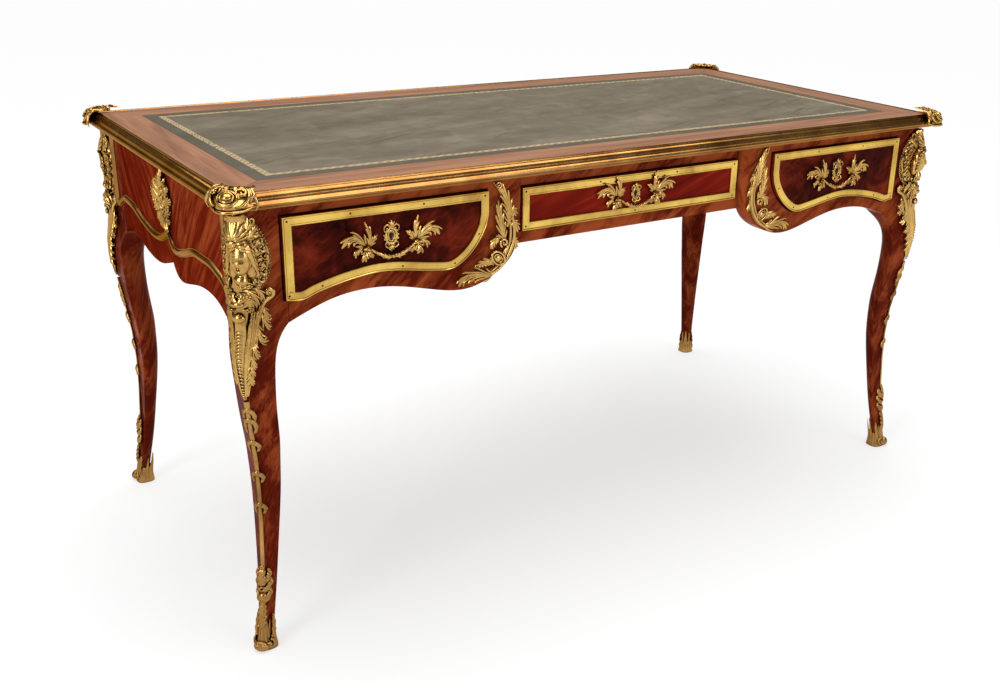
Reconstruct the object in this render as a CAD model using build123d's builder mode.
from build123d import *
from math import sqrt
import os

# A bureau plat: a writing table with a leather top, three drawers in the front,
# three sham drawers at the back, cabriole legs and gilt-bronze mounts.
# Millimetres. X runs along the table, the drawers open towards -Y, Z is up and
# the floor is Z = 0. Left and right are those of a person facing the drawers.

# ---------------------------------------------------------------- overall
table_height = 780.0  # floor to the top face of the wood
top_width = 1560.0  # over the brass edge
top_depth = 770.0
top_thickness = 24.0
side_overhang = 29.0  # brass edge past the side panels
front_overhang = 35.0  # brass edge past the pedestal fronts
seat_gap = 0.2  # cast mounts stand this far off curved wood
slide_gap = 0.3  # between a sliding piece and what guides it

# ---------------------------------------------------------------- top
edge_width = 23.0  # brass edge moulding, in plan
edge_rise = 1.0  # above the wood
leather_width = 1388.0
leather_depth = 592.0
leather_thickness = 2.0
clasp_reach = 86.0  # corner clasp, along each edge
clasp_cover = 60.0  # corner clasp, in over the top
clasp_stand = 4.0  # beyond the brass edge
clasp_rise = 6.0  # above the wood
clasp_crown = 3.5  # bevel of its upper edge

# ---------------------------------------------------------------- carcass
stile_width = 74.0  # square upper part of each leg
ear_drop = 190.0  # carcass top to the foot of the square part
kneehole_width = 500.0  # between the pedestals
kneehole_drop = 128.0  # carcass top to the kneehole rail's lower edge
centre_recess = 20.0  # kneehole section behind the pedestals
shoulder_radius = 16.0  # rounded kneehole edge of each pedestal
apron_thickness = 30.0
rail_thickness = 24.0
back_thickness = 24.0
side_thickness = 24.0
side_bow = 9.0  # swelling of each half of a side panel
side_valley = 4.0  # crease between the two swellings
top_rail_height = 27.0
centre_rail_height = 35.0
partition_thickness = 20.0
partition_offset = 35.0  # kneehole edge to the partition
runner_thickness = 18.0
runner_ledge = 16.0  # under each drawer side
guide_height = 18.0
guide_width = 6.0

# ---------------------------------------------------------------- drawers
lip_lap = 6.0  # drawer lip over the opening's edge, all round
lip_thickness = 5.0
drawer_gap = 1.0  # drawer front in its opening
core_thickness = 18.0
pedestal_stile = 74.0  # kneehole edge to the side drawer's lip
centre_lip_margin = 5.0  # kneehole edge to the centre drawer's lip
centre_lip_height = 76.0
border_width = 15.0
border_thickness = 4.0
box_wall = 10.0
box_inset = 114.0  # kneehole edge to the side drawer's box
box_side_gap = 7.0  # leg to the side drawer's box
box_drop = 114.0  # carcass top to the side drawer's lower edge
centre_box_inset = 18.0  # kneehole edge to the centre drawer's box
centre_box_drop = 93.0
box_top_gap = 9.0  # drawer box below its rail
drawer_depth = 520.0  # behind the front
bottom_thickness = 6.0
bottom_lift = 5.0  # lower edge of a side to the bottom panel
groove_depth = 4.0

# ---------------------------------------------------------------- locks
lock_width = 56.0
lock_height = 50.0
lock_depth = 9.0
bolt_width = 22.0
bolt_thickness = 4.0
bolt_length = 25.0
bolt_throw = 8.0
mortise_gap = 1.5  # between a bolt and the rail, on each side
keyhole_radius = 3.5
keyhole_slot = 9.0

# ---------------------------------------------------------------- bronze mounts
handle_drop = 88.0  # carcass top to the bail pivots, side drawers
centre_handle_drop = 72.0
pivot_spread = 44.0  # drawer centre to each bail pivot
pivot_stand = 8.0  # bail pivot in front of the drawer face
post_radius = 5.0
pin_radius = 2.2
pin_gap = 0.1
pin_end = 2.0  # pin past its post
bail_radius = 3.0
bail_sag = 19.0
plate_thickness = 5.0
escutcheon_height = 54.0  # side drawers
escutcheon_rise = 17.0  # middle above the bail pivots
centre_escutcheon_height = 41.0
centre_escutcheon_rise = 6.0
escutcheon_width = 32.0
side_border_width = 12.0
side_border_thickness = 4.0
side_border_inset = 45.0  # corner to the middle of the upright moulding
cartouche_width = 140.0
cartouche_height = 95.0
cartouche_thickness = 8.0
sabot_height = 66.0
sabot_wall = 4.0
sabot_floor = 6.0
toe_reach = 6.0
toe_radius = 10.0
leaf_rise = 18.0  # front leaf of the sabot above its sides
shoulder_mount_thickness = 6.0

# ---------------------------------------------------------------- worked out
carcass_top = table_height - top_thickness
carcass_x = top_width / 2 - side_overhang
carcass_y = top_depth / 2 - front_overhang
wood_x = top_width / 2 - edge_width
wood_y = top_depth / 2 - edge_width
stile_x = carcass_x - stile_width
stile_y = carcass_y - stile_width
knee_x = kneehole_width / 2
ear_z = carcass_top - ear_drop
rail_z = carcass_top - top_rail_height
centre_rail_z = carcass_top - centre_rail_height
kneehole_z = carcass_top - kneehole_drop
centre_y = carcass_y - centre_recess
partition_x = knee_x + partition_offset
lip_top = rail_z + lip_lap
lip_outer = stile_x + lip_lap
lip_inner = knee_x + pedestal_stile
centre_lip_x = knee_x - centre_lip_margin
centre_lip_top = centre_rail_z + lip_lap
side_inner_x = carcass_x - side_thickness

os.makedirs("parts", exist_ok=True)


def keep(piece, label):
    """Label a finished piece and write it to its own file."""
    piece.part.label = label
    export_step(piece.part, f"parts/{label}.step")


def keep_group(pieces, label):
    """Write pieces that meet face to face and stay separate solids."""
    group = Compound([solid for piece in pieces for solid in piece.solids()])
    group.label = label
    export_step(group, f"parts/{label}.step")


def front_plane(y):
    """Upright plane facing the drawers, y in front of the table's middle."""
    return Plane.XZ.offset(y)


# ------------------------------------------------- outlines of shaped boards
# Each point is a share of the pedestal's width, from the kneehole out to the
# leg, and a drop below the carcass top.
pedestal_curve = (
    (0.000, 66.0),
    (0.021, 106.0),
    (0.060, 144.0),
    (0.137, 170.0),
    (0.255, 186.5),
    (0.400, 179.0),
    (0.590, 160.0),
    (0.720, 157.0),
    (0.826, 163.0),
    (0.915, 175.0),
    (1.000, ear_drop),
)
# The same for the lower edge of the side drawer's lip, over the lip's width.
lip_curve = (
    (0.000, 60.0),
    (0.016, 82.0),
    (0.060, 109.0),
    (0.125, 132.0),
    (0.200, 145.0),
    (0.300, 142.0),
    (0.527, 130.0),
    (0.700, 134.5),
    (0.850, 146.0),
    (0.926, 155.0),
    (1.000, 152.0),
)


def pedestal_sketch(plane, side, top):
    """Whole front of a pedestal, from the kneehole curve to the leg."""
    span = stile_x - knee_x
    points = [
        (side * (knee_x + share * span), carcass_top - drop)
        for share, drop in pedestal_curve
    ]
    with BuildSketch(plane) as outline:
        with BuildLine():
            Spline(*points)
            Polyline(points[-1], (side * stile_x, top), (side * knee_x, top), points[0])
        make_face()
    return outline.sketch


def lip_sketch(plane, side, inset):
    """Outline of a side drawer's lip, drawn in square to its edge by an inset."""
    span = lip_outer - lip_inner
    path = [Vector(lip_inner + share * span, carcass_top - drop) for share, drop in lip_curve]
    drawn = [path[0] + Vector(inset, 0)]
    for before, here, after in zip(path, path[1:], path[2:]):
        along = (after - before).normalized()
        drawn.append(here + Vector(-along.Y, along.X) * inset)
    drawn.append(path[-1] + Vector(-inset, inset))
    points = [(side * point.X, point.Y) for point in drawn]
    head = lip_top - inset
    with BuildSketch(plane) as outline:
        with BuildLine():
            Spline(*points)
            Polyline(points[-1], (points[-1][0], head), (points[0][0], head), points[0])
        make_face()
    return outline.sketch


def centre_lip_sketch(plane, inset):
    """Outline of the centre drawer's lip, drawn in by an inset."""
    with BuildSketch(plane) as outline:
        with Locations((0, centre_lip_top - centre_lip_height / 2)):
            Rectangle(2 * (centre_lip_x - inset), centre_lip_height - 2 * inset)
    return outline.sketch


def block(x0, x1, y0, y1, z0, z1):
    """Plain squared timber between two corners."""
    with BuildPart() as timber:
        with BuildSketch(Plane.XY.offset(z0)):
            with Locations(((x0 + x1) / 2, (y0 + y1) / 2)):
                Rectangle(abs(x1 - x0), abs(y1 - y0))
        extrude(amount=z1 - z0)
    return timber.part


# ---------------------------------------------------------------- legs
# Square section at the top, then an S-curve in the diagonal plane. A station
# is a share of the height of the square part's foot, the arris' offset outside
# the carcass corner, the faces' offset at their inner edges, the width of a
# face, and the radius of the inner corner as a share of the width.
leg_stations = (
    (0.976, 4.5, 2.5, 66.0, 0.50),
    (0.945, 7.5, 7.0, 58.5, 0.60),
    (0.892, 8.7, 8.7, 53.5, 0.75),
    (0.813, 5.6, 5.6, 49.5, 0.80),
    (0.707, -0.7, -0.7, 46.0, 0.80),
    (0.600, -7.8, -7.8, 41.4, 0.80),
    (0.495, -10.2, -10.2, 37.0, 0.80),
    (0.389, -9.0, -9.0, 32.0, 0.80),
    (0.283, -6.0, -6.0, 27.5, 0.80),
    (0.177, -1.5, -1.5, 23.5, 0.80),
    (0.088, 4.5, 4.5, 21.0, 0.80),
)
toe_station = (9.0, 9.0, 20.0, 0.80)
ear_bulge = 2.5
arris_radius = 3.0
edge_radius = 2.0
stile_rise = 34.0  # over which the arris starts to swell


def leg_section(z, bulge, face, width, inner_share, grow):
    """Section of the front left leg: arris outwards, inner corner rounded."""
    inner = bulge - width - grow
    corners = [
        (-(carcass_x + bulge + grow), -(carcass_y + bulge + grow)),
        (-(carcass_x + inner), -(carcass_y + face + grow)),
        (-(carcass_x + inner), -(carcass_y + inner)),
        (-(carcass_x + face + grow), -(carcass_y + inner)),
    ]
    with BuildSketch(Plane.XY.offset(z)) as section:
        Polygon(*corners, align=None)
        by_x = section.vertices().sort_by(Axis((0, 0, 0), (1, 1, 0)))
        fillet(by_x[-1], inner_share * width)
        fillet(by_x[0], arris_radius)
        sides = section.vertices().sort_by(Axis((0, 0, 0), (1, -1, 0)))
        fillet([sides[0], sides[-1]], edge_radius)
    return section.sketch


def leg_solid(grow):
    """Front left leg, grown on its long faces by a margin."""
    square = (0.0, 0.0, stile_width, 0.50)
    ear = (ear_bulge, 0.0, stile_width + ear_bulge, 0.50)
    sections = [leg_section(ear_z, *ear, grow)]
    sections += [leg_section(share * ear_z, *rest, grow) for share, *rest in leg_stations]
    sections.append(leg_section(sabot_floor, *toe_station, grow))
    with BuildPart() as leg:
        extrude(leg_section(ear_z + stile_rise, *square, grow), amount=ear_drop - stile_rise)
        loft([leg_section(ear_z + stile_rise, *square, grow), sections[0]], ruled=True)
        loft(sections)
    return leg.part


leg_blank = leg_solid(0)
leg_room = leg_solid(seat_gap)

corner_mirrors = {
    "front_left": (),
    "front_right": (Plane.YZ,),
    "back_left": (Plane.XZ,),
    "back_right": (Plane.YZ, Plane.XZ),
}


def at_corner(blank, corner):
    """Mirror a piece made for the front left corner to another corner."""
    for plane in corner_mirrors[corner]:
        blank = mirror(blank, about=plane, mode=Mode.PRIVATE)
    return blank


for corner in corner_mirrors:
    with BuildPart() as leg:
        add(at_corner(leg_blank, corner))
    keep(leg, f"leg_{corner}")

# ---------------------------------------------------------------- side panels
# Lower edge of a side, as a distance from the middle of the side and a drop.
side_curve = (
    (0.0, 174.0),
    (0.235, 191.0),
    (0.470, 179.0),
    (0.740, 166.0),
    (0.880, 171.0),
    (1.000, ear_drop),
)
# Middle line of the gilt moulding that follows it.
side_border_curve = (
    (0.0, 124.0),
    (0.160, 143.0),
    (0.360, 131.0),
    (0.540, 116.0),
    (0.705, 115.0),
    (0.820, 118.0),
    (0.960, 133.0),
)


def side_plan(plane, proud, reach):
    """Plan of the doubly bowed outer face, carried out flat to a reach."""
    flat = carcass_x + proud
    path = [(side_inner_x, -reach), (side_inner_x, reach)]
    if reach > stile_y:
        path = [(flat, -stile_y), (flat, -reach), *path, (flat, reach), (flat, stile_y)]
    else:
        path = [(flat, -stile_y), *path, (flat, stile_y)]
    with BuildSketch(plane) as plan:
        with BuildLine():
            for way in (-1, 1):
                ThreePointArc(
                    (flat - side_valley, 0),
                    (flat + side_bow - side_valley / 2, way * stile_y / 2),
                    (flat, way * stile_y),
                )
            Polyline(*path)
        make_face()
    return plan.sketch


def side_edge(curve, length, shift):
    """Mirrored pair of splines along a side, from the middle out."""
    halves = []
    for way in (1, -1):
        halves.append([(way * share * length, carcass_top - drop + shift) for share, drop in curve])
    return halves


def side_panel_solid():
    """Right side panel with its shaped lower edge."""
    ahead, behind = side_edge(side_curve, stile_y, 0)
    with BuildPart() as panel:
        extrude(side_plan(Plane.XY.offset(ear_z - ear_drop / 4), 0, stile_y), amount=ear_drop * 1.25)
        with BuildSketch(Plane.YZ.offset(side_inner_x)):
            with BuildLine():
                Spline(*ahead)
                Spline(*behind)
                Polyline(ahead[-1], (stile_y, carcass_top), (-stile_y, carcass_top), behind[-1])
            make_face()
        extrude(amount=2 * side_thickness, mode=Mode.INTERSECT)
    return panel.part


side_blank = side_panel_solid()
with BuildPart() as side_panel_right:
    add(side_blank)
keep(side_panel_right, "side_panel_right")

with BuildPart() as side_panel_left:
    add(mirror(side_blank, about=Plane.YZ, mode=Mode.PRIVATE))
keep(side_panel_left, "side_panel_left")

# Gilt moulding on each side: an upright on each leg and a shaped lower run.
def side_skin(reach, thickness, low):
    """Sheet lying along the bowed side, a seating gap off the wood."""
    with BuildPart() as skin:
        extrude(side_plan(Plane.XY.offset(low), seat_gap + thickness, reach), amount=carcass_top - low)
        extrude(
            side_plan(Plane.XY.offset(low), seat_gap, reach),
            amount=carcass_top - low,
            mode=Mode.SUBTRACT,
        )
    return skin.part


def side_border_solid():
    """Moulding of the right side, standing on the leg faces and the panel."""
    upright_y = carcass_y - side_border_inset
    half = side_border_width / 2
    low = carcass_top - side_border_curve[-1][1] - half
    over = side_edge(side_border_curve, upright_y - half, half)
    under = side_edge(side_border_curve, upright_y - half, -half)
    skin = side_skin(upright_y + half, side_border_thickness, low - 4 * half)
    with BuildPart() as moulding:
        add(skin)
        with BuildSketch(Plane.YZ.offset(side_inner_x)):
            for upper, lower in zip(over, under):
                with BuildLine():
                    Spline(*upper)
                    Spline(*lower)
                    Line(upper[0], lower[0])
                    Line(upper[-1], lower[-1])
                make_face()
            for way in (-1, 1):
                with Locations((way * upright_y, (low + carcass_top) / 2)):
                    Rectangle(side_border_width, carcass_top - low)
        extrude(amount=2 * side_thickness, mode=Mode.INTERSECT)
    return moulding.part


border_blank = side_border_solid()
with BuildPart() as side_borders:
    add(border_blank)
    add(mirror(border_blank, about=Plane.YZ, mode=Mode.PRIVATE))
keep(side_borders, "side_borders")

# Pierced cartouche on the crease of each side.
cartouche_drop = 68.5
cartouche_half = (
    (0.12, 1.00),
    (0.30, 0.80),
    (0.70, 0.62),
    (1.00, 0.40),
    (0.94, -0.10),
    (0.66, -0.56),
    (0.28, -0.80),
    (0.10, -1.00),
)
cartouche_outline = [(1, y, z) for y, z in cartouche_half]
cartouche_outline += [(-1, y, z) for y, z in reversed(cartouche_half)]


def cartouche_solid():
    """Right side's cartouche: a scrolled plate with two openings."""
    middle = carcass_top - cartouche_drop
    skin = side_skin(stile_y, cartouche_thickness, middle - cartouche_height)
    wide = cartouche_width / 2
    high = cartouche_height / 2
    with BuildPart() as casting:
        add(skin)
        with BuildSketch(Plane.YZ.offset(side_inner_x)):
            with Locations((0, middle)):
                Polygon(
                    *[(side * y * wide, z * high) for side, y, z in cartouche_outline],
                    align=None,
                )
                with PolarLocations(0.42 * wide, 2):
                    RegularPolygon(0.22 * wide, 4, rotation=45, mode=Mode.SUBTRACT)
        extrude(amount=2 * side_thickness, mode=Mode.INTERSECT)
    return casting.part


cartouche_blank = cartouche_solid()
with BuildPart() as side_cartouches:
    add(cartouche_blank)
    add(mirror(cartouche_blank, about=Plane.YZ, mode=Mode.PRIVATE))
keep(side_cartouches, "side_cartouches")

# ---------------------------------------------------------------- pedestal fronts
apron_back = carcass_y - apron_thickness
hands = ((-1, "left"), (1, "right"))


def shoulder_arc(front, side, way):
    """Quarter round at a pedestal's kneehole corner, in plan."""
    near = shoulder_radius * (1 - sqrt(0.5))
    ThreePointArc(
        (side * knee_x, -way * (front - shoulder_radius)),
        (side * (knee_x + near), -way * (front - near)),
        (side * (knee_x + shoulder_radius), -way * front),
    )


def pedestal_solid(front, thickness, side, top, way):
    """Shaped board of a pedestal; way is 1 at the front and -1 at the back."""
    back = front - thickness
    board = pedestal_sketch(front_plane(way * back), side, top)
    with BuildPart() as pedestal:
        extrude(board, amount=way * thickness)
        with BuildSketch(Plane.XY.offset(ear_z - ear_drop)):
            with BuildLine():
                shoulder_arc(front, side, way)
                Polyline(
                    (side * (knee_x + shoulder_radius), -way * front),
                    (side * stile_x, -way * front),
                    (side * stile_x, -way * back),
                    (side * knee_x, -way * back),
                    (side * knee_x, -way * (front - shoulder_radius)),
                )
            make_face()
        extrude(amount=3 * ear_drop, mode=Mode.INTERSECT)
    return pedestal.part


for side, hand in hands:
    opening = lip_sketch(front_plane(carcass_y), side, lip_lap)
    board = pedestal_solid(carcass_y, apron_thickness, side, rail_z, 1)
    with BuildPart() as front_apron:
        add(board)
        extrude(opening, amount=-apron_thickness, mode=Mode.SUBTRACT)
    keep(front_apron, f"front_apron_{hand}")

# ---------------------------------------------------------------- front rails
rail_back = centre_y - rail_thickness


def centre_section(front, thickness, low, high, way):
    """Kneehole board that laps behind the pedestals, at the front or back."""
    back = front - thickness
    with BuildPart() as board:
        with BuildSketch(front_plane(way * back)):
            with Locations((0, (low + high) / 2)):
                Rectangle(2 * partition_x, high - low)
        extrude(amount=way * thickness)
        for side, hand in hands:
            extrude(
                pedestal_sketch(front_plane(way * apron_back), side, carcass_top),
                amount=way * apron_thickness,
                mode=Mode.SUBTRACT,
            )
    return board.part


centre_blank = centre_section(centre_y, rail_thickness, kneehole_z, centre_rail_z, 1)
with BuildPart() as front_centre_rail:
    add(centre_blank)
    extrude(
        centre_lip_sketch(front_plane(centre_y), lip_lap),
        amount=-rail_thickness,
        mode=Mode.SUBTRACT,
    )
keep(front_centre_rail, "front_centre_rail")

# The lock of a drawer stands in a pocket behind its front, and the bolt rises
# into a mortise in the rail above. Each drawer is its middle, the face of the
# carcass there, the underside of its rail, the height of its bail pivots, and
# the middle and the height of its keyhole plate.
side_level = carcass_top - handle_drop
centre_level = carcass_top - centre_handle_drop
side_fittings = (side_level, side_level + escutcheon_rise, escutcheon_height)
centre_fittings = (
    centre_level,
    centre_level + centre_escutcheon_rise,
    centre_escutcheon_height,
)
drawer_middle = (lip_inner + lip_outer) / 2
drawers = {
    "left": (-drawer_middle, carcass_y, rail_z, side_fittings),
    "centre": (0.0, centre_y, centre_rail_z, centre_fittings),
    "right": (drawer_middle, carcass_y, rail_z, side_fittings),
}


def core_back(face):
    """Rear of a drawer's front, behind a carcass face."""
    return face + slide_gap - core_thickness


def bolt_y(face):
    """Middle of a lock bolt's thickness."""
    return core_back(face) + lock_depth / 2


with BuildPart() as rail_blank:
    with BuildSketch(Plane.XY.offset(rail_z)):
        with BuildLine():
            for side, hand in hands:
                shoulder_arc(carcass_y, side, 1)
                Polyline(
                    (side * (knee_x + shoulder_radius), -carcass_y),
                    (side * stile_x, -carcass_y),
                    (side * stile_x, -apron_back),
                    (side * partition_x, -apron_back),
                    (side * partition_x, -rail_back),
                )
                Line(
                    (side * knee_x, -(carcass_y - shoulder_radius)),
                    (side * knee_x, -centre_y),
                )
            Line((-knee_x, -centre_y), (knee_x, -centre_y))
            Line((-partition_x, -rail_back), (partition_x, -rail_back))
        make_face()
    extrude(amount=top_rail_height)
    with BuildSketch(Plane.XY.offset(centre_rail_z)):
        with Locations((0, -(centre_y + apron_back) / 2)):
            Rectangle(2 * knee_x, centre_y - apron_back)
        with Locations((0, -(apron_back + rail_back) / 2)):
            Rectangle(2 * partition_x, apron_back - rail_back)
    extrude(amount=rail_z - centre_rail_z)

# The rail is glued up from three plies over each drawer. The middle ply stops
# on each side of the bolt, which leaves the mortise.
wing_rooms = [
    block(side * knee_x, side * stile_x, -carcass_y, -apron_back, centre_rail_z, carcass_top)
    for side, hand in hands
]
with BuildPart() as middle_length:
    add(rail_blank.part)
    add(wing_rooms, mode=Mode.SUBTRACT)
plies = []
for hand, (middle, face, under, fittings) in drawers.items():
    if hand == "centre":
        length = middle_length.part
    else:
        with BuildPart() as wing_length:
            add(rail_blank.part)
            add(wing_rooms[0 if hand == "left" else 1], mode=Mode.INTERSECT)
        length = wing_length.part
    slot_front = bolt_y(face) + bolt_thickness / 2 + mortise_gap
    slot_back = bolt_y(face) - bolt_thickness / 2 - mortise_gap
    slot_reach = bolt_width / 2 + mortise_gap
    for x0, x1, y0, y1 in (
        (-stile_x, stile_x, -carcass_y, -slot_front),
        (-stile_x, middle - slot_reach, -slot_front, -slot_back),
        (middle + slot_reach, stile_x, -slot_front, -slot_back),
        (-stile_x, stile_x, -slot_back, -rail_back),
    ):
        with BuildPart() as ply:
            add(length)
            add(block(x0, x1, y0, y1, under, carcass_top), mode=Mode.INTERSECT)
        plies.append(ply.part)
keep_group(plies, "front_top_rail")

# ---------------------------------------------------------------- back
sham_rise = 3.0
back_of_boards = carcass_y - back_thickness

for side, hand in hands:
    board = pedestal_solid(carcass_y, back_thickness, side, carcass_top, -1)
    panel = lip_sketch(front_plane(-carcass_y), side, 0)
    with BuildPart() as back_panel:
        add(board)
        extrude(panel, amount=-sham_rise)
    keep(back_panel, f"back_panel_{hand}")

centre_blank = centre_section(centre_y, back_thickness, kneehole_z, carcass_top, -1)
panel = centre_lip_sketch(front_plane(-centre_y), 0)
with BuildPart() as back_panel_centre:
    add(centre_blank)
    extrude(panel, amount=-sham_rise)
keep(back_panel_centre, "back_panel_centre")

# ---------------------------------------------------------------- inner frame
runner_z = carcass_top - box_drop - slide_gap
centre_runner_z = carcass_top - centre_box_drop - slide_gap
partition_low = runner_z - runner_thickness
partition_outer = partition_x + partition_thickness
box_inner = knee_x + box_inset
box_outer = stile_x - box_side_gap
centre_box_x = knee_x - centre_box_inset
guide_room = 2 * slide_gap

with BuildPart() as drawer_partitions:
    for side, hand in hands:
        add(
            block(
                side * partition_x,
                side * partition_outer,
                -apron_back,
                back_of_boards,
                partition_low,
                carcass_top,
            )
        )
keep(drawer_partitions, "drawer_partitions")


def runner_solid(side, wall, edge, wing, front, rear, top):
    """Ledge under one side of a drawer, with a guide strip beside it.

    wall is where the ledge is fixed, edge the drawer's side, and wing the
    distance out to the side panel between the legs, or nothing.
    """
    inward = 1 if edge > wall else -1
    ledge = edge + inward * runner_ledge
    guide = edge - inward * guide_room
    with BuildPart() as runner:
        add(block(side * wall, side * ledge, -front, rear, top - runner_thickness, top))
        if wing:
            add(
                block(
                    side * wall, side * wing, -stile_y, stile_y, top - runner_thickness, top
                )
            )
        add(
            block(
                side * guide,
                side * (guide - inward * guide_width),
                -front,
                rear,
                top,
                top + guide_height,
            )
        )
    return runner.part


with BuildPart() as drawer_runners:
    for side, hand in hands:
        add(runner_solid(side, partition_outer, box_inner, 0, apron_back, back_of_boards, runner_z))
        add(
            runner_solid(
                side, stile_x, box_outer, side_inner_x, apron_back, back_of_boards, runner_z
            )
        )
        add(
            runner_solid(
                side,
                partition_x,
                centre_box_x,
                0,
                rail_back,
                centre_y - back_thickness,
                centre_runner_z,
            )
        )
keep(drawer_runners, "drawer_runners")

# ---------------------------------------------------------------- drawers
side_box = (box_inner, box_outer, carcass_top - box_drop)
centre_box = (-centre_box_x, centre_box_x, carcass_top - centre_box_drop)
lip_face_stand = slide_gap + lip_thickness


def drawer_lip(hand, side, plane, inset):
    """Lip outline of any of the three drawers."""
    if hand == "centre":
        return centre_lip_sketch(plane, inset)
    return lip_sketch(plane, side, inset)


def keyhole(plane, middle, level):
    """Round hole over a straight slot."""
    with BuildSketch(plane) as hole:
        with Locations((middle, level)):
            Circle(keyhole_radius)
        with Locations((middle, level - keyhole_slot / 2)):
            Rectangle(keyhole_radius, keyhole_slot)
    return hole.sketch


# Acanthus leaves of a handle plate: heading, length and half-width. Headings
# are measured from straight outwards, upwards positive.
plate_leaves = (
    (27.0, 46.0, 7.0),
    (52.0, 32.0, 6.0),
    (-10.0, 36.0, 6.0),
    (-92.0, 17.0, 5.0),
)


def handle_plate(face, way, middle, level, side):
    """Leaf plate with the post that carries one end of a bail."""
    root = middle + side * pivot_spread
    with BuildPart() as plate:
        with BuildSketch(front_plane(way * face)):
            for heading, length, belly in plate_leaves:
                along = Vector(side, 0).rotate(Axis.Z, side * heading)
                across = Vector(-along.Y, along.X) * belly
                start = Vector(root, level)
                middle_of_leaf = start + along * (0.4 * length)
                tip = start + along * length
                outline = (start, middle_of_leaf + across, tip, middle_of_leaf - across)
                Polygon(*[(p.X, p.Y) for p in outline], align=None)
        extrude(amount=way * plate_thickness)
        with BuildSketch(front_plane(way * face)):
            with Locations((root, level)):
                Rectangle(2 * post_radius, 2 * post_radius)
        extrude(amount=way * (pivot_stand + post_radius))
        with BuildSketch(Plane.YZ.offset(root - 2 * post_radius)):
            with Locations((-way * (face + pivot_stand), level)):
                Circle(pin_radius + pin_gap)
        extrude(amount=4 * post_radius, mode=Mode.SUBTRACT)
    return plate.part


# Outline of a keyhole plate, as shares of its half-width and half-height.
escutcheon_half = ((0.22, 1.0), (0.42, 0.72), (1.0, 0.34), (0.88, -0.30), (0.34, -0.70), (0.20, -1.0))
escutcheon_outline = [(1, x, z) for x, z in escutcheon_half]
escutcheon_outline += [(-1, x, z) for x, z in reversed(escutcheon_half)]


def escutcheon(face, way, middle, level, height):
    """Cast keyhole plate, standing on a drawer face."""
    wide = escutcheon_width / 2
    high = height / 2
    with BuildPart() as plate:
        with BuildSketch(front_plane(way * face)):
            with Locations((middle, level)):
                Polygon(
                    *[(side * x * wide, z * high) for side, x, z in escutcheon_outline],
                    align=None,
                )
        extrude(amount=way * 0.8 * plate_thickness)
        extrude(keyhole(front_plane(way * face), middle, level), amount=way * plate_thickness,
                mode=Mode.SUBTRACT)
    return plate.part


# Bail from one pin to the other: share of the half-width, and half its height.
bail_curve = (
    (-1.00, 2.6),
    (-0.72, 2.8),
    (-0.36, 3.4),
    (0.00, 4.0),
    (0.36, 3.4),
    (0.72, 2.8),
    (1.00, 2.6),
)


def bail_solid(face, way, middle, level):
    """Drooping bail with a pin at each end."""
    arm = pivot_spread - post_radius - 4.0
    outline = []
    for share, half in bail_curve:
        outline.append((share * arm, level - bail_sag * (1 - share * share) + half))
    for share, half in reversed(bail_curve):
        outline.append((share * arm, level - bail_sag * (1 - share * share) - half))
    with BuildPart() as swag:
        with BuildSketch(front_plane(way * (face + pivot_stand - bail_radius))):
            with Locations((middle, 0)):
                Polygon(*outline, align=None)
        extrude(amount=way * 2 * bail_radius)
        for side in (-1, 1):
            with BuildSketch(Plane.YZ.offset(middle + side * arm)):
                with Locations((-way * (face + pivot_stand), level)):
                    Circle(pin_radius)
            extrude(amount=side * (pivot_spread + post_radius + pin_end - arm))
    return swag.part


def border_ring(hand, side, face, way):
    """Brass band round a drawer front, flat on its back."""
    plane = front_plane(way * face)
    with BuildPart() as ring:
        extrude(drawer_lip(hand, side, plane, 0), amount=way * border_thickness)
        extrude(
            drawer_lip(hand, side, plane, border_width),
            amount=way * border_thickness,
            mode=Mode.SUBTRACT,
        )
    return ring.part


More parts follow.
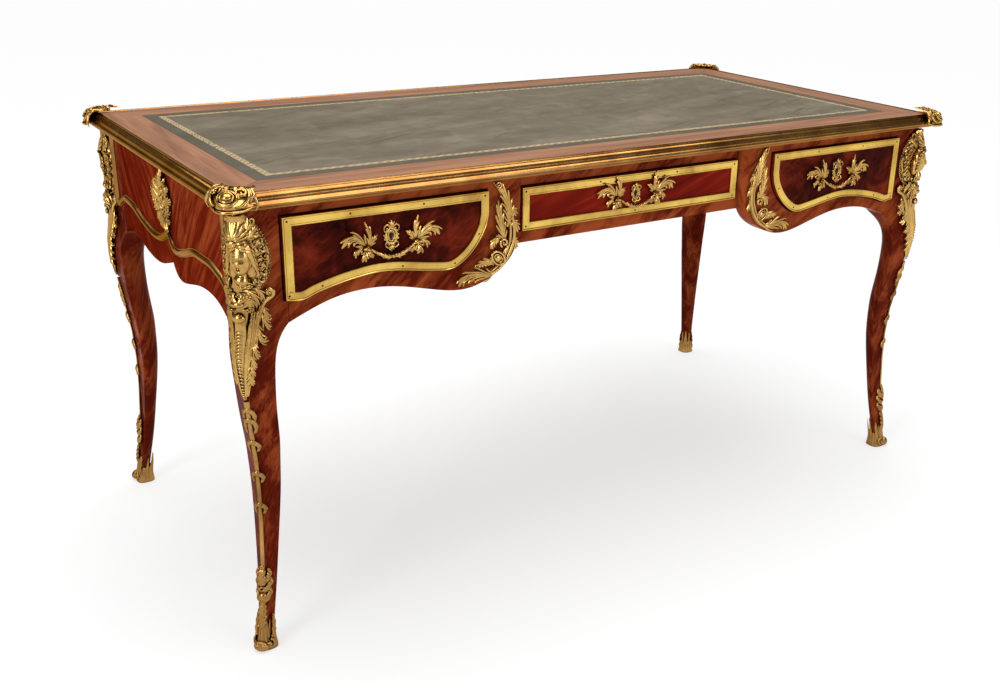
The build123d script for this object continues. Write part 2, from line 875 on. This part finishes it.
for hand, (middle, face, under, (level, key_level, key_height)) in drawers.items():
    side = -1 if hand == "left" else 1
    inner, outer, low = centre_box if hand == "centre" else side_box
    if hand == "left":
        inner, outer = -outer, -inner
    high = under - box_top_gap
    shown = face + lip_face_stand
    rear = core_back(face)
    head = under - drawer_gap
    lip = drawer_lip(hand, side, front_plane(face + slide_gap), 0)
    core = drawer_lip(hand, side, front_plane(face + slide_gap), lip_lap + drawer_gap)
    lock_room = block(
        middle - lock_width / 2,
        middle + lock_width / 2,
        -rear - lock_depth,
        -rear,
        head - lock_height,
        head,
    )
    hole = keyhole(front_plane(shown), middle, key_level)

    with BuildPart() as drawer_front:
        extrude(core, amount=-core_thickness)
        extrude(lip, amount=lip_thickness)
        add(lock_room, mode=Mode.SUBTRACT)
        extrude(hole, amount=-core_thickness, mode=Mode.SUBTRACT)
    keep(drawer_front, f"drawer_{hand}_front")

    tail = -rear + drawer_depth
    panel_low = low + bottom_lift
    panel = block(
        inner + box_wall - groove_depth,
        outer - box_wall + groove_depth,
        -rear,
        tail,
        panel_low,
        panel_low + bottom_thickness,
    )
    walls = []
    for wall in (inner, outer - box_wall):
        with BuildPart() as drawer_side:
            add(block(wall, wall + box_wall, -rear, tail, low, high))
            add(panel, mode=Mode.SUBTRACT)
        walls.append(drawer_side.part)
    walls.append(
        block(
            inner + box_wall,
            outer - box_wall,
            tail - box_wall,
            tail,
            panel_low + bottom_thickness,
            high,
        )
    )
    keep_group(walls, f"drawer_{hand}_box")

    with BuildPart() as drawer_bottom:
        add(panel)
    keep(drawer_bottom, f"drawer_{hand}_bottom")

    ring = border_ring(hand, side, shown, 1)
    with BuildPart() as drawer_border:
        add(ring)
    keep(drawer_border, f"drawer_{hand}_border")

    plates = [handle_plate(shown, 1, middle, level, way) for way in (-1, 1)]
    plates.append(escutcheon(shown, 1, middle, key_level, key_height))
    with BuildPart() as drawer_mounts:
        add(plates)
    keep(drawer_mounts, f"drawer_{hand}_mounts")

    swag = bail_solid(shown, 1, middle, level)
    with BuildPart() as drawer_bail:
        add(swag)
    keep(drawer_bail, f"drawer_{hand}_bail")

    slot_low = head - bolt_length - 2 * slide_gap
    with BuildPart() as lock_case:
        add(lock_room)
        with BuildSketch(Plane.XY.offset(slot_low)):
            with Locations((middle, -bolt_y(face))):
                Rectangle(bolt_width + 2 * slide_gap, bolt_thickness + 2 * slide_gap)
        extrude(amount=lock_height, mode=Mode.SUBTRACT)
        extrude(
            keyhole(front_plane(rear + lock_depth), middle, key_level),
            amount=-lock_depth / 4,
            mode=Mode.SUBTRACT,
        )
    keep(lock_case, f"drawer_{hand}_lock_case")

    with BuildPart() as lock_bolt:
        with BuildSketch(Plane.XY.offset(slot_low + slide_gap)):
            with Locations((middle, -bolt_y(face))):
                Rectangle(bolt_width, bolt_thickness)
        extrude(amount=bolt_length)
    keep(lock_bolt, f"drawer_{hand}_lock_bolt")

# ---------------------------------------------------------------- sham drawers
sham_rings = []
sham_plates = []
for hand, (middle, face, under, (level, key_level, key_height)) in drawers.items():
    side = -1 if hand == "left" else 1
    shown = face + sham_rise
    sham_rings.append(border_ring(hand, side, shown, -1))
    sham_plates += [handle_plate(shown, -1, middle, level, way) for way in (-1, 1)]
    sham_plates.append(escutcheon(shown, -1, middle, key_level, key_height))
    swag = bail_solid(shown, -1, middle, level)
    with BuildPart() as back_bail:
        add(swag)
    keep(back_bail, f"back_bail_{hand}")

with BuildPart() as back_borders:
    add(sham_rings)
keep(back_borders, "back_borders")

with BuildPart() as back_mounts:
    add(sham_plates)
keep(back_mounts, "back_mounts")

# ---------------------------------------------------------------- top
with BuildPart() as top_board:
    with BuildSketch(Plane.XY.offset(carcass_top)):
        Rectangle(2 * wood_x, 2 * wood_y)
    extrude(amount=top_thickness)
    with BuildSketch(Plane.XY.offset(table_height - leather_thickness)):
        Rectangle(leather_width, leather_depth)
    extrude(amount=leather_thickness, mode=Mode.SUBTRACT)
keep(top_board, "top_board")

with BuildPart() as leather_panel:
    with BuildSketch(Plane.XY.offset(table_height - leather_thickness)):
        Rectangle(leather_width, leather_depth)
    extrude(amount=leather_thickness)
keep(leather_panel, "leather_panel")


def edge_length(half_run, wood, along, gap):
    """One mitred length of the brass edge, or its envelope out by a gap.

    The section stands on the board's edge: a fillet at the top, a broad slope,
    a half-round bead and a hollow underneath.
    """
    high = table_height + edge_rise + gap
    crest = edge_width + gap
    sketch_plane = Plane.YZ if along == "X" else Plane.ZX
    foot = carcass_top - gap
    outline = (
        (0.0, high),
        (0.17 * crest, high),
        (0.22 * crest, high - 1.5),
        (0.50 * crest, high - 4.5),
        (0.74 * crest, high - 11.0),
        (0.83 * crest, high - 12.0),
        (0.95 * crest, high - 13.4),
        (crest, high - 16.5),
        (0.95 * crest, high - 19.6),
        (0.83 * crest, high - 21.0),
        (0.64 * crest, high - 22.4),
        (0.60 * crest, foot),
        (0.0, foot),
    )

    def place(point):
        out, up = point
        return (-(wood + out), up) if along == "X" else (up, -(wood + out))

    with BuildPart() as bar:
        with BuildSketch(sketch_plane.offset(-half_run)):
            Polygon(*[place(point) for point in outline], align=None)
        extrude(amount=2 * half_run)
        inner = half_run - crest
        mitre = (
            (-half_run, -(wood + crest)),
            (half_run, -(wood + crest)),
            (inner, -wood),
            (-inner, -wood),
        )
        if along == "Y":
            mitre = [(y, x) for x, y in mitre]
        with BuildSketch(Plane.XY.offset(carcass_top - crest)):
            Polygon(*mitre, align=None)
        extrude(amount=4 * crest, mode=Mode.INTERSECT)
    return bar.part


front_edge = edge_length(top_width / 2, wood_y, "X", 0)
left_edge = edge_length(top_depth / 2, wood_x, "Y", 0)
lengths = [
    front_edge,
    mirror(front_edge, about=Plane.XZ),
    left_edge,
    mirror(left_edge, about=Plane.YZ),
]
keep_group(lengths, "top_edge_moulding")

# ---------------------------------------------------------------- corner clasps
front_envelope = edge_length(top_width / 2 + seat_gap, wood_y, "X", seat_gap)
left_envelope = edge_length(top_depth / 2 + seat_gap, wood_x, "Y", seat_gap)


# Outline from its outer tip round to the tip on the end of the table, in shares
# of its reach from the corner.
clasp_half = ((1.00, 0.02), (0.45, 0.00), (0.20, 0.06))
clasp_inner = ((0.36, 0.86), (clasp_cover / clasp_reach, clasp_cover / clasp_reach), (0.86, 0.36))
clasp_outline = [*clasp_half, *[(y, x) for x, y in reversed(clasp_half)], *clasp_inner]


def clasp_solid():
    """Cast clasp that folds over the front left corner of the top."""
    tip_x = -(top_width / 2 + clasp_stand)
    tip_y = -(top_depth / 2 + clasp_stand)
    with BuildPart() as clasp:
        with BuildSketch(Plane.XY.offset(carcass_top - seat_gap)):
            Polygon(
                *[(tip_x + x * clasp_reach, tip_y + y * clasp_reach) for x, y in clasp_outline],
                align=None,
            )
        extrude(amount=top_thickness + clasp_rise + seat_gap)
        chamfer(clasp.faces().sort_by(Axis.Z)[-1].edges(), clasp_crown)
        for edge in (front_envelope, left_envelope, front_edge, left_edge):
            add(edge, mode=Mode.SUBTRACT)
        add(
            block(-wood_x, 0, -wood_y, 0, carcass_top - top_thickness, table_height),
            mode=Mode.SUBTRACT,
        )
    return clasp.part


clasp_blank = clasp_solid()
with BuildPart() as corner_clasps:
    for corner in corner_mirrors:
        add(at_corner(clasp_blank, corner))
keep(corner_clasps, "corner_clasps")

# ---------------------------------------------------------------- kneehole mounts
def shoulder_mount(front, way):
    """Cast crescent down a pedestal's kneehole edge, right side."""
    head = (knee_x + 0.68 * pedestal_stile, carcass_top - 14.0)
    foot = (knee_x + 1.62 * pedestal_stile, carcass_top - 173.0)
    with BuildPart() as crescent:
        with BuildSketch(front_plane(way * front)):
            with BuildLine():
                outer = (knee_x + 0.30 * pedestal_stile, carcass_top - 106.0)
                inner = (knee_x + 0.66 * pedestal_stile, carcass_top - 96.0)
                ThreePointArc(head, outer, foot)
                ThreePointArc(foot, inner, head)
            make_face()
        extrude(amount=way * shoulder_mount_thickness)
    return crescent.part


with BuildPart() as kneehole_mounts:
    for way in (1, -1):
        crescent = shoulder_mount(carcass_y, way)
        add(crescent)
        add(mirror(crescent, about=Plane.YZ, mode=Mode.PRIVATE))
keep(kneehole_mounts, "kneehole_mounts")

# ---------------------------------------------------------------- leg mounts
# Heights and arris offsets of the legs, top to bottom, for what is fitted on
# their corners.
arris_line = [(carcass_top, 0.0), (ear_z + stile_rise, 0.0), (ear_z, ear_bulge)]
arris_line += [(station[0] * ear_z, station[1]) for station in leg_stations]
arris_line.append((sabot_floor, toe_station[0]))
arris_line.append((0.0, toe_station[0]))


def arris_bulge(z):
    """How far the front left leg's arris stands outside the carcass corner."""
    for (high, outer), (low, inner) in zip(arris_line, arris_line[1:]):
        if z >= low:
            return inner + (outer - inner) * (z - low) / (high - low)
    return arris_line[-1][1]


def wrap_section(z, spread, crest, swell):
    """Section of a casting that wraps the arris of the front left leg.

    spread is its reach along each face, crest how far it stands out on the
    diagonal, and swell how far it stands off the faces half-way along them.
    """
    corner_x = -(carcass_x + arris_bulge(z))
    corner_y = -(carcass_y + arris_bulge(z))
    depth = min(4.0, 0.5 * spread)
    lean = crest / sqrt(2)
    with BuildSketch(Plane.XY.offset(z)) as section:
        Polygon(
            (corner_x + spread, corner_y - 1.0),
            (corner_x + 0.5 * spread, corner_y - swell),
            (corner_x - lean, corner_y - lean),
            (corner_x - swell, corner_y + 0.5 * spread),
            (corner_x - 1.0, corner_y + spread),
            (corner_x + depth, corner_y + spread),
            (corner_x + spread, corner_y + depth),
            align=None,
        )
    return section.sketch


# Knee mount, crest to leaf tip: drop, spread, crest and swell.
knee_mount_stations = (
    (12.0, 9.0, 7.0, 5.0),
    (44.0, 32.0, 17.0, 12.0),
    (112.0, 34.0, 14.0, 10.0),
    (152.0, 38.0, 20.0, 12.0),
    (200.0, 31.0, 18.0, 9.0),
    (262.0, 17.0, 11.0, 5.5),
    (306.0, 5.0, 4.0, 2.5),
)
head_drop = 80.0
head_stand = 14.0  # head's middle outside the arris, on the diagonal
head_width = 42.0
head_height = 66.0


def knee_mount_solid():
    """Long acanthus casting that carries the bust."""
    with BuildPart() as casting:
        loft(
            [
                wrap_section(carcass_top - drop, spread, crest, swell)
                for drop, spread, crest, swell in knee_mount_stations
            ]
        )
        add(leg_room, mode=Mode.SUBTRACT)
    return casting.part


def head_solid(corner):
    """Head of the bust at a corner; its features are left plain."""
    level = carcass_top - head_drop
    out = arris_bulge(level) + head_stand / sqrt(2)
    side = 1 if corner.endswith("right") else -1
    way = 1 if corner.startswith("back") else -1
    centre = Vector(side * (carcass_x + out), way * (carcass_y + out), level)
    with BuildPart() as head:
        with BuildSketch(Plane(origin=centre, x_dir=(1, 0, 0), z_dir=(0, -1, 0))):
            Polygon(
                (0, head_height / 2),
                (0.34 * head_width, 0.40 * head_height),
                (0.50 * head_width, 0.12 * head_height),
                (0.44 * head_width, -0.22 * head_height),
                (0.20 * head_width, -0.46 * head_height),
                (0, -head_height / 2),
                align=None,
            )
        revolve(axis=Axis(centre, (0, 0, 1)))
    return head.part


# Stem down the arris from the leaf tip to the shoe: share of the way, spread,
# crest and swell.
stem_stations = (
    (0.00, 5.0, 3.5, 2.4),
    (0.15, 6.5, 5.0, 3.0),
    (0.40, 4.5, 3.0, 2.2),
    (0.80, 5.0, 3.2, 2.4),
    (0.92, 8.0, 6.0, 3.6),
    (1.00, 5.5, 4.5, 3.0),
)


def stem_solid():
    """Foliate stem along the front left leg's arris."""
    head = carcass_top - knee_mount_stations[-1][0] - seat_gap
    foot = sabot_height + leaf_rise + seat_gap
    with BuildPart() as stem:
        loft(
            [
                wrap_section(head + share * (foot - head), spread, crest, swell)
                for share, spread, crest, swell in stem_stations
            ]
        )
        add(leg_room, mode=Mode.SUBTRACT)
    return stem.part


# Front leaf of the shoe, bottom to tip: height as a share, spread, crest, swell.
shoe_leaf_stations = (
    (0.00, 13.0, 22.0, 8.0),
    (0.25, 12.0, 11.0, 6.5),
    (0.60, 11.0, 7.0, 5.5),
    (0.85, 7.0, 6.0, 4.0),
    (1.00, 2.5, 3.0, 1.6),
)


def shoe_section(z, bulge, width, grow):
    """Section of the shoe: the leg's square with its corners cut."""
    outer = bulge + grow
    inner = bulge - width - grow
    cut = 0.3 * width
    corners = (
        (outer - 1.0, outer - 1.0),
        (inner + cut, outer),
        (inner, outer - cut),
        (inner, inner + 2 * cut),
        (inner + 2 * cut, inner),
        (outer - cut, inner),
        (outer, inner + cut),
    )
    with BuildSketch(Plane.XY.offset(z)) as section:
        Polygon(*[(-(carcass_x + x), -(carcass_y + y)) for x, y in corners], align=None)
    return section.sketch


def sabot_solid():
    """Cast shoe with a scrolled toe and a tall front leaf."""
    toe = arris_bulge(0) + toe_reach / sqrt(2)
    diagonal = Vector(-1, -1, 0).normalized()
    sideways = Vector(1, -1, 0).normalized()
    scroll = Vector(-(carcass_x + toe), -(carcass_y + toe), toe_radius)
    width = toe_station[2]
    upper = arris_bulge(sabot_height)
    upper_width = leg_stations[-1][3] + 1.0
    middle = 0.5 * sabot_height
    with BuildPart() as shoe:
        loft(
            [
                shoe_section(0, toe_station[0], width, 1.6 * sabot_wall),
                shoe_section(middle, arris_bulge(middle), width, sabot_wall),
                shoe_section(sabot_height, upper, upper_width, sabot_wall),
            ]
        )
        loft(
            [
                wrap_section(share * (sabot_height + leaf_rise), spread, crest, swell)
                for share, spread, crest, swell in shoe_leaf_stations
            ]
        )
        with BuildSketch(Plane(origin=scroll - sideways * 10.0, x_dir=diagonal, z_dir=sideways)):
            RegularPolygon(toe_radius, 8, major_radius=False, rotation=22.5)
        extrude(amount=20.0)
        add(leg_room, mode=Mode.SUBTRACT)
    return shoe.part


knee_blank = knee_mount_solid()
stem_blank = stem_solid()
sabot_blank = sabot_solid()

for corner in corner_mirrors:
    knee_casting = at_corner(knee_blank, corner)
    head = head_solid(corner)
    room = at_corner(leg_room, corner)
    with BuildPart() as knee_mount:
        add(head)
        add(room, mode=Mode.SUBTRACT)
        add(knee_casting)
    keep(knee_mount, f"knee_mount_{corner}")

    shoe_casting = at_corner(sabot_blank, corner)
    with BuildPart() as sabot:
        add(shoe_casting)
    keep(sabot, f"sabot_{corner}")

with BuildPart() as leg_stems:
    for corner in corner_mirrors:
        add(at_corner(stem_blank, corner))
keep(leg_stems, "leg_stems")
